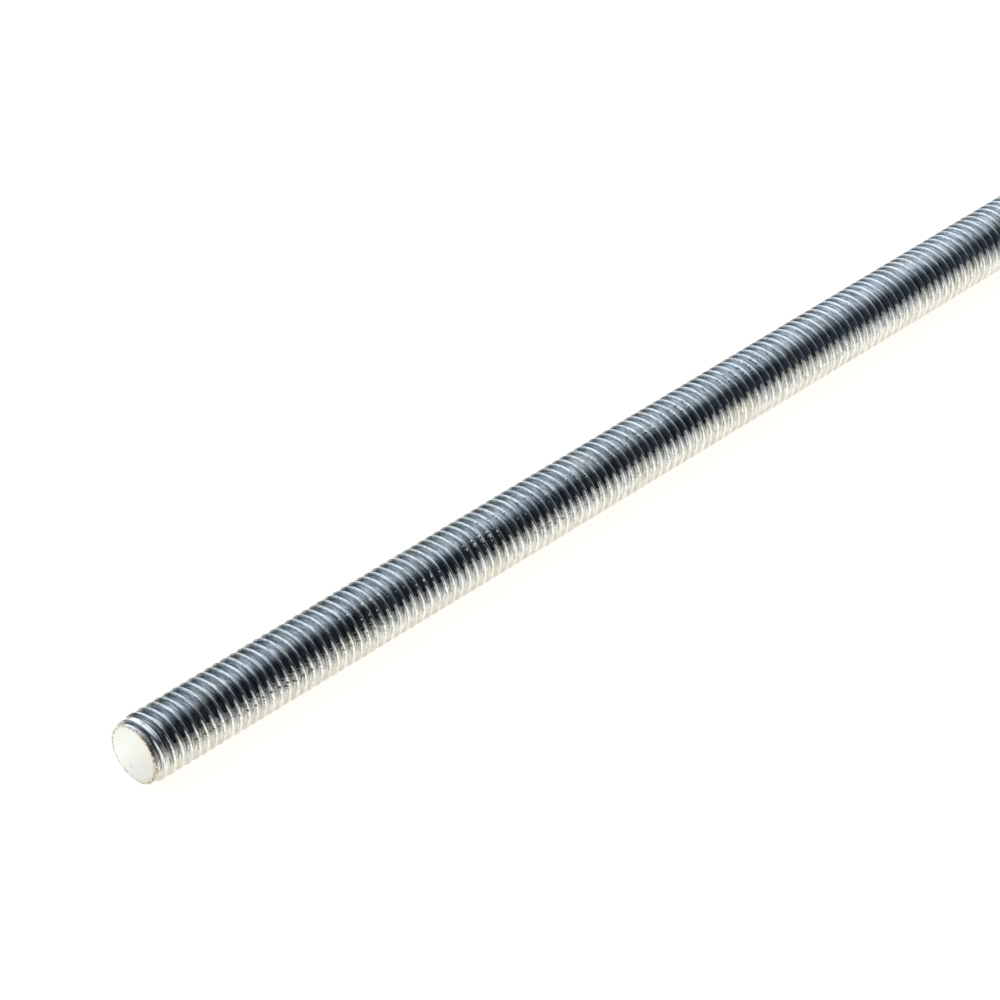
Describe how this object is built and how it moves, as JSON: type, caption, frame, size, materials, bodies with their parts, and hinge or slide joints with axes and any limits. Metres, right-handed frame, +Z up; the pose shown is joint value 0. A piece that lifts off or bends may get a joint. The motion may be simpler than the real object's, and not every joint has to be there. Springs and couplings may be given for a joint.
{
  "type": "threaded rod",
  "caption": "Straight zinc-plated steel rod with a coarse right-hand thread along its whole length and flat ends with a short lead-in.",
  "frame": {"origin": "centre of the near end face, on the rod's axis", "axes": "+X along the rod from the near end to the far end, +Z up, +Y sideways"},
  "size_m": [0.25, 0.0098, 0.0098],
  "materials": {
    "zinc_plated_steel": "bright blue-white zinc plating"
  },
  "bodies": {
    "root": {"threaded_rod": "zinc_plated_steel"}
  },
  "joints": []
}
